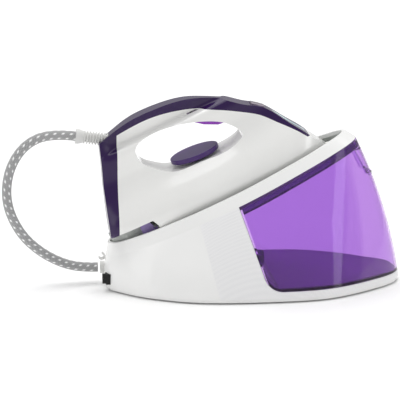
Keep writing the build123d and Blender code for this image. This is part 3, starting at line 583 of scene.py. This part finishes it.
# ---- sub-assemblies ------------------------------------------------------------------------------
@dataclass
class SteamHose:
    """The sleeved steam hose and the ribbed relief at its iron end."""

    diameter: float = 12.0  # mm
    sides: int = 32
    line_points: int = 420
    route_points: int = 60  # about how many points of the curve the line goes through
    relief_length: float = 30.0
    relief_before: float = 2.0  # the collar's start, ahead of the route's first point
    relief_inside: float = 8.0  # how far the ribs go on into the heel
    relief_sides: int = 48
    flare_radius: float = 9.6  # the collar's, where it starts
    flare_fall: float = 2.4
    flare_length: float = 8.5
    flare_curve: float = 1.2
    flare_end: float = 8.0  # where the ribs take over
    rib_radius: float = 7.1
    rib_height: float = 1.2
    rib_flat: float = 1.6  # above 1, the wave's tops and feet are cut flat
    rib_first: float = 9.0
    rib_pitch: float = 3.6
    route: tuple[tuple[float, float, float], ...] = (
        (-218, 0, 194.5), (-250.7, 0, 199), (-283, 0, 186), (-304, 1, 153.5), (-308, 3, 111.5),
        (-292, 8, 72), (-268, 14, 46), (-239, 23, 27), (-212, 27, 19.5), (-190, 27, 19.5))

    def centre_line(self) -> np.ndarray:
        """Points along the route's NURBS curve, in metres."""
        control = (np.array(self.route) + SHIFT) * MM
        curve = bpy.data.curves.new("hose_line", "CURVE")
        curve.dimensions = "3D"
        curve.resolution_u = 24
        spline = curve.splines.new("NURBS")
        spline.points.add(len(control) - 1)
        weighted = np.concatenate([control, np.ones((len(control), 1))], axis=1)
        spline.points.foreach_set("co", weighted.ravel())
        spline.order_u = 3
        spline.use_endpoint_u = True
        holder = bpy.data.objects.new("hose_line", curve)
        bpy.context.scene.collection.objects.link(holder)
        mesh = bpy.data.meshes.new_from_object(holder)
        line = np.zeros(len(mesh.vertices) * 3)
        mesh.vertices.foreach_get("co", line)
        bpy.data.objects.remove(holder)
        bpy.data.meshes.remove(mesh)
        bpy.data.curves.remove(curve)
        return line.reshape(-1, 3)

    def build(self, wardrobe: Wardrobe) -> None:
        curve = self.centre_line()
        line = flow_line(curve[::len(curve) // self.route_points], self.line_points)
        relief = self.build_relief(wardrobe)
        radius = np.full(len(line), self.diameter / 2 * MM)
        grid, along = tube_grid(line, radius, self.sides)
        turns = np.linspace(0, 1, self.sides + 1)
        uv = np.stack(np.broadcast_arrays(turns[None, :], along[:, None]), axis=-1)
        hose = grid_mesh("hose_sleeve", grid, wrap=True, uv=uv, cap=True)
        wardrobe.dress(hose, Finish.SLEEVE)
        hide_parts("steam_hose")
        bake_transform(hose)
        LOG.info("hose_sleeve: %.3f m long", along[-1])

    def build_relief(self, wardrobe: Wardrobe) -> bpy.types.Object:
        """Ribbed relief: a flared collar at the hose and a ring of ribs towards the heel.

        The radius follows the length: a flare that falls from the collar, then a cosine wave.
        """
        tip, after = ((np.array(self.route[k]) + SHIFT) * MM for k in (0, 1))
        run = (tip - after) / np.linalg.norm(tip - after)
        at = np.linspace(-self.relief_before * MM, (self.relief_length + self.relief_inside) * MM, 260)
        wave = np.cos(2 * np.pi * (at / MM - self.rib_first) / self.rib_pitch)
        ribs = self.rib_radius + self.rib_height * np.clip(self.rib_flat * wave, -1, 1)
        fall = np.clip((at / MM) / self.flare_length, 0, 1) ** self.flare_curve
        flare = self.flare_radius - self.flare_fall * fall
        radius = np.where(at / MM < self.flare_end, flare, ribs)
        radius[0] = radius[-1] = self.diameter / 2
        grid, _ = tube_grid(tip + run * at[:, None], radius * MM, self.relief_sides)
        piece = grid_mesh("relief_sleeve", grid, wrap=True, cap=True)
        wardrobe.dress(piece, Finish.RELIEF)
        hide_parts("strain_relief")
        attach(piece, "iron")
        return piece


@dataclass
class TriggerCoil:
    """Return spring above the steam trigger: a wound wire that shortens as the trigger is pressed."""

    at_u: float = -36.0  # place along the rest, mm
    low: float = 98.8  # heights above the rest's plane
    high: float = 106.8
    coil_radius: float = 1.8
    wire_radius: float = 0.3
    turns: float = 6.5
    end_gap: float = 0.4  # from the wire's ends to the coil's stated heights
    steps: int = 320
    sides: int = 10

    def build(self, wardrobe: Wardrobe) -> None:
        """Wire along u + r cos a, v = r sin a, w rising evenly with the angle a."""
        angle = np.linspace(0, 2 * np.pi * self.turns, self.steps)
        rise = np.linspace(self.low + self.end_gap, self.high - self.end_gap, self.steps)
        along = self.at_u + self.coil_radius * np.cos(angle)
        path = (along[:, None] * REST_U + rise[:, None] * REST_W
                + (self.coil_radius * np.sin(angle))[:, None] * ACROSS + REST_ORIGIN + SHIFT) * MM
        wire = np.full(self.steps, self.wire_radius * MM)
        grid, _ = tube_grid(path, wire, self.sides, REST_W)
        coil = grid_mesh("trigger_coil", grid, wrap=True, cap=True)
        wardrobe.dress(coil, Finish.STEEL)
        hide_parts("trigger_spring")
        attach(coil, "iron")
        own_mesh(coil)
        LOG.info("trigger_coil: %.1f turns", self.turns)


@dataclass
class TankFloorShade:
    """Opaque deep violet sheet inside the water tank, just above the wall that holds the water:
    painted shade that darkens the tank's lower part.
    """

    inset: float = 7.0  # mm inside the wall's foot
    height: float = 17.6
    rear_x: float = 22.0
    taper: float = 20.0  # length behind the nose over which the inset shrinks
    least: float = 0.35  # share of the inset that is left at the nose
    outline: tuple[tuple[float, float], ...] = (
        (0, 106), (40, 105.0), (79.9, 99.0), (118.1, 80.0), (151.5, 55.1), (179.5, 26.0), (188, 0))

    def build(self, wardrobe: Wardrobe) -> None:
        """Sheet between the half outline and its mirror image: y runs from -w(x) to w(x)."""
        edge = flow_line(np.array(self.outline, float), 200)
        lit_front = self.outline[-1][0] - self.inset
        x = np.linspace(self.rear_x, lit_front, 60)
        inset = self.inset * np.clip((lit_front - x) / self.taper, self.least, 1)
        half = np.maximum(np.interp(x, edge[:, 0], edge[:, 1]) - inset, 0.5)
        y = half[:, None] * np.linspace(-1, 1, 40)[None, :]
        grid = np.stack(np.broadcast_arrays(x[:, None], y, self.height), axis=-1)
        # the sheet stands in for the shade seen through the tank's floor
        sheet = grid_mesh("tank_floor_shade", (grid + SHIFT) * MM)
        wardrobe.dress(sheet, Finish.TANK_FLOOR_SHADE)
        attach(sheet, "tank")
        LOG.info("tank_floor_shade: built")


@dataclass
class Studio:
    """Pale floor, soft lights and the camera."""

    azimuth: float = -7.0  # degrees from straight in front of the near side
    elevation: float = 12.5
    distance: float = 3.0
    lens: float = 214.8
    aim: tuple[float, float, float] = (0.002, 0.0, 0.125)
    shift: tuple[float, float] = (-0.12895, -0.0342)
    sky: float = 0.5
    floor_half: float = 8.0
    lit_point: tuple[float, float, float] = (0.0, 0.0, 0.12)  # what the lights face
    # name, place in metres, width and height in metres, power in watts
    lights: tuple[tuple[str, tuple[float, float, float], tuple[float, float], float], ...] = (
        ("above", (-0.2, 1.2, 4.6), (6.0, 6.0), 230.0),
        ("side_left", (-2.2, -0.8, 0.8), (0.8, 1.4), 5.0),
        ("side_right", (1.9, -1.2, 0.8), (0.35, 1.6), 5.0))

    def build(self) -> None:
        """Place the floor, the world, the lights and the camera."""
        bpy.context.scene.view_settings.view_transform = "Standard"
        reach = np.array([-self.floor_half, self.floor_half])
        corners = [[(x, y, 0.0) for x in reach] for y in reach]
        floor = grid_mesh("floor", np.array(corners, float))
        material, tree, shader = start_material("paper_floor_white")
        noise = put(tree, "ShaderNodeTexNoise", {"Scale": 60.0})
        tree.links.new(ramp(tree, noise.outputs["Fac"], [(0.0, "#fbfbfb"), (1.0, "#fdfdfd")]),
                       shader.inputs["Base Color"])
        shader.inputs["Roughness"].default_value = 0.9
        floor.data.materials.append(material)
        world = bpy.data.worlds.new("studio")
        bpy.context.scene.world = world
        world.use_nodes = True
        background = world.node_tree.nodes["Background"]
        background.inputs["Color"].default_value = (1, 1, 1, 1)
        background.inputs["Strength"].default_value = self.sky
        for light in self.lights:
            self.soft_light(*light)
        self.place_camera()

    def soft_light(self, name: str, place: tuple[float, float, float], size: tuple[float, float],
                   power: float) -> None:
        """Rectangular soft light that faces the iron."""
        light = bpy.data.lights.new(name, "AREA")
        light.shape = "RECTANGLE"
        light.size, light.size_y = size
        light.energy = power
        holder = bpy.data.objects.new(name, light)
        bpy.context.scene.collection.objects.link(holder)
        holder.location = place
        facing = Vector(self.lit_point) - Vector(place)
        holder.rotation_euler = facing.to_track_quat("-Z", "Y").to_euler()

    def place_camera(self) -> None:
        """Camera on its sphere round the aim point, level, with the frame's small shift."""
        a, e = math.radians(self.azimuth), math.radians(self.elevation)
        back = Vector((math.sin(a) * math.cos(e), -math.cos(a) * math.cos(e), math.sin(e)))
        data = bpy.data.cameras.new("camera")
        data.lens, data.sensor_width = self.lens, 36.0
        data.shift_x, data.shift_y = self.shift
        holder = bpy.data.objects.new("camera", data)
        bpy.context.scene.collection.objects.link(holder)
        holder.location = Vector(self.aim) + back * self.distance
        holder.rotation_euler = (-back).to_track_quat("-Z", "Y").to_euler()
        bpy.context.scene.camera = holder


def main() -> None:
    """Dress the frame, build each sub-assembly and set the studio."""
    logging.basicConfig(level=logging.INFO)
    wardrobe = Wardrobe()
    wardrobe.dress_frame()
    TankFloorShade().build(wardrobe)
    TriggerCoil().build(wardrobe)
    SteamHose().build(wardrobe)
    Studio().build()


if __name__ == "__main__":
    main()
